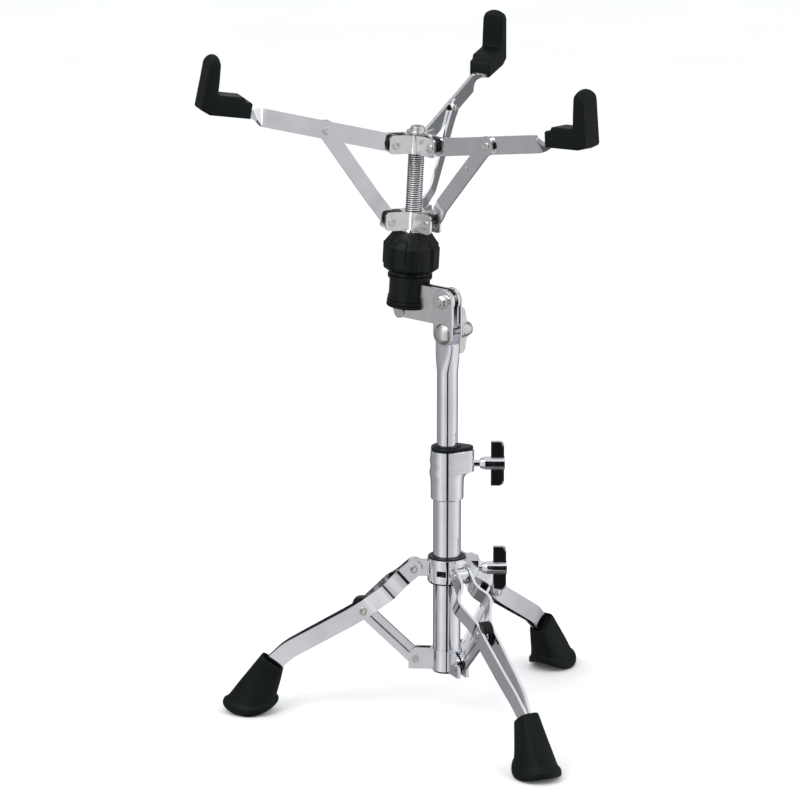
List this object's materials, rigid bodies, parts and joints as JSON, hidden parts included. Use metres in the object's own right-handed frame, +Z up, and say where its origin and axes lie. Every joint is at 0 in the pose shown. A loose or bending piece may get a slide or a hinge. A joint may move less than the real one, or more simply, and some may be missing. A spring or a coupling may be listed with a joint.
{
  "type": "snare drum stand",
  "caption": "Folding snare drum stand: double-braced tripod, telescopic chromed tube, tilter and a knob-driven basket whose rubber-tipped arms grip a drum",
  "frame": {"origin": "on the floor, on the axis of the base tube", "axes": "+Z up along the tube, +X toward the two clamp wing bolts, +Y away from the side the stand is shown from"},
  "size_m": [0.3518, 0.4097, 0.624],
  "materials": {
    "chrome": "polished chrome plate",
    "zinc": "satin nickel and zinc plate",
    "black_nylon": "moulded black nylon, satin",
    "rubber": "moulded black rubber, matt",
    "brass": "turned brass"
  },
  "bodies": {
    "base": {"base_tube": "chrome", "base_tube_plug": "black_nylon", "height_housing": "chrome", "height_bushing": "black_nylon", "height_clamp_pad": "brass", "stay_bracket": "chrome", "stay_bracket_rivets": "zinc"},
    "height_wing": {"height_wing_bolt": "chrome", "height_wing_inlays": "black_nylon"},
    "collar": {"tripod_collar": "chrome", "collar_liner": "black_nylon", "collar_rivets": "zinc"},
    "collar_wing": {"collar_wing_bolt": "chrome", "collar_wing_inlays": "black_nylon"},
    "glide": {"tube_glide": "black_nylon"},
    "upper": {"upper_tube": "chrome", "clamp_bolt": "zinc", "hinge_bolt": "zinc", "hinge_nut": "zinc"},
    "wing_nut": {"tilter_wing_nut": "zinc"},
    "tilter": {"tilter_plates": "chrome", "rod_anchor": "zinc", "tilter_screw": "zinc", "socket_sleeve": "black_nylon", "basket_rod": "chrome", "top_hub": "chrome", "top_hub_rivets": "zinc", "top_screw": "zinc"},
    "hub_slider": {"lower_hub": "chrome", "lower_hub_rivets": "zinc"},
    "knob": {"basket_knob": "black_nylon", "knob_insert": "brass"},
    "left_leg": {"left_leg_strips": "chrome", "left_leg_spacer": "black_nylon", "left_leg_rivet": "zinc", "left_foot": "rubber"},
    "left_strut": {"left_stay": "chrome"},
    "front_leg": {"front_leg_strips": "chrome", "front_leg_spacer": "black_nylon", "front_leg_rivet": "zinc", "front_foot": "rubber"},
    "front_strut": {"front_stay": "chrome"},
    "back_leg": {"back_leg_strips": "chrome", "back_leg_spacer": "black_nylon", "back_leg_rivet": "zinc", "back_foot": "rubber"},
    "back_strut": {"back_stay": "chrome"},
    "left_arm_assembly": {"left_arm": "chrome", "left_arm_rivet": "zinc", "left_tip": "rubber"},
    "left_brace_strip": {"left_brace": "chrome"},
    "right_arm_assembly": {"right_arm": "chrome", "right_arm_rivet": "zinc", "right_tip": "rubber"},
    "right_brace_strip": {"right_brace": "chrome"},
    "back_arm_assembly": {"back_arm": "chrome", "back_arm_rivet": "zinc", "back_tip": "rubber"},
    "back_brace_strip": {"back_brace": "chrome"}
  },
  "joints": [
    {"name": "height_wing_turn", "type": "hinge", "parent": "base", "child": "height_wing", "pos_m": [0.03, 0, 0.241], "axis": [1, 0, 0], "continuous": true},
    {"name": "tripod_fold", "type": "slide", "parent": "base", "child": "collar", "axis": [0, 0, 1], "range_m": [0, 0.038]},
    {"name": "collar_wing_turn", "type": "hinge", "parent": "collar", "child": "collar_wing", "pos_m": [0.035, 0, 0.1422], "axis": [1, 0, 0], "continuous": true},
    {"name": "left_leg_swing", "type": "hinge", "parent": "collar", "child": "left_leg", "pos_m": [-0.03, 0.00247, 0.1422], "axis": [-0.0819, -0.9966, 0], "range_deg": [0, 35.43]},
    {"name": "left_stay_swing", "type": "hinge", "parent": "left_leg", "child": "left_strut", "pos_m": [-0.07604, 0.00625, 0.101], "axis": [-0.0819, -0.9966, 0], "range_deg": [-68.44, 0]},
    {"name": "front_leg_swing", "type": "hinge", "parent": "collar", "child": "front_leg", "pos_m": [0.01286, -0.02721, 0.1422], "axis": [0.9041, 0.4274, 0], "range_deg": [0, 35.43]},
    {"name": "front_stay_swing", "type": "hinge", "parent": "front_leg", "child": "front_strut", "pos_m": [0.03261, -0.06898, 0.101], "axis": [0.9041, 0.4274, 0], "range_deg": [-68.44, 0]},
    {"name": "back_leg_swing", "type": "hinge", "parent": "collar", "child": "back_leg", "pos_m": [0.01714, 0.02475, 0.1422], "axis": [-0.8221, 0.5693, 0], "range_deg": [0, 35.43]},
    {"name": "back_stay_swing", "type": "hinge", "parent": "back_leg", "child": "back_strut", "pos_m": [0.04344, 0.06273, 0.101], "axis": [-0.8221, 0.5693, 0], "range_deg": [-68.44, 0]},
    {"name": "height_slide", "type": "slide", "parent": "base", "child": "glide", "axis": [0, 0, 1], "range_m": [-0.065, 0.085]},
    {"name": "upper_swivel", "type": "hinge", "parent": "glide", "child": "upper", "pos_m": [0, 0, 0.136], "axis": [0, 0, 1], "continuous": true},
    {"name": "tilter_wing_turn", "type": "hinge", "parent": "upper", "child": "wing_nut", "pos_m": [0.01071, 0.01189, 0.3619], "axis": [0.6691, 0.7431, 0], "continuous": true},
    {"name": "basket_tilt", "type": "hinge", "parent": "upper", "child": "tilter", "pos_m": [0, 0, 0.3919], "axis": [0.6691, 0.7431, 0], "range_deg": [-24, 75]},
    {"name": "lower_hub_slide", "type": "slide", "parent": "tilter", "child": "hub_slider", "axis": [0.0493, -0.0443, 0.9978], "range_m": [0, 0.027]},
    {"name": "knob_turn", "type": "hinge", "parent": "hub_slider", "child": "knob", "pos_m": [-0.03285, 0.02958, 0.4249], "axis": [0.0493, -0.0443, 0.9978], "continuous": true},
    {"name": "left_arm_rise", "type": "hinge", "parent": "tilter", "child": "left_arm_assembly", "pos_m": [-0.04879, 0.01658, 0.53185], "axis": [-0.3618, 0.9304, 0.0592], "range_deg": [0, 50.72]},
    {"name": "left_brace_swing", "type": "hinge", "parent": "left_arm_assembly", "child": "left_brace_strip", "pos_m": [-0.10807, -0.00753, 0.54838], "axis": [-0.3618, 0.9304, 0.0592], "range_deg": [-29.67, 0]},
    {"name": "right_arm_rise", "type": "hinge", "parent": "tilter", "child": "right_arm_assembly", "pos_m": [-0.01145, 0.00892, 0.52966], "axis": [-0.7021, -0.7121, 0.003], "range_deg": [0, 50.72]},
    {"name": "right_brace_swing", "type": "hinge", "parent": "right_arm_assembly", "child": "right_brace_strip", "pos_m": [0.03506, -0.03689, 0.54001], "axis": [-0.7021, -0.7121, 0.003], "range_deg": [-29.67, 0]},
    {"name": "back_arm_rise", "type": "hinge", "parent": "tilter", "child": "back_arm_assembly", "pos_m": [-0.01955, 0.04613, 0.53172], "axis": [0.9339, -0.3521, -0.0617], "range_deg": [0, 50.72]},
    {"name": "back_brace_swing", "type": "hinge", "parent": "back_arm_assembly", "child": "back_brace_strip", "pos_m": [0.00399, 0.10574, 0.54788], "axis": [0.9339, -0.3521, -0.0617], "range_deg": [-29.67, 0]}
  ],
  "couplings": [
    {"joint": "left_leg_swing", "follows": "tripod_fold", "rad_per_m": 16.225},
    {"joint": "left_stay_swing", "follows": "tripod_fold", "rad_per_m": -31.39},
    {"joint": "front_leg_swing", "follows": "tripod_fold", "rad_per_m": 16.225},
    {"joint": "front_stay_swing", "follows": "tripod_fold", "rad_per_m": -31.39},
    {"joint": "back_leg_swing", "follows": "tripod_fold", "rad_per_m": 16.225},
    {"joint": "back_stay_swing", "follows": "tripod_fold", "rad_per_m": -31.39},
    {"joint": "knob_turn", "follows": "lower_hub_slide", "rad_per_m": 3141.6},
    {"joint": "left_arm_rise", "follows": "lower_hub_slide", "rad_per_m": 32.721},
    {"joint": "left_brace_swing", "follows": "lower_hub_slide", "rad_per_m": -19.115},
    {"joint": "right_arm_rise", "follows": "lower_hub_slide", "rad_per_m": 32.721},
    {"joint": "right_brace_swing", "follows": "lower_hub_slide", "rad_per_m": -19.115},
    {"joint": "back_arm_rise", "follows": "lower_hub_slide", "rad_per_m": 32.721},
    {"joint": "back_brace_swing", "follows": "lower_hub_slide", "rad_per_m": -19.115}
  ]
}
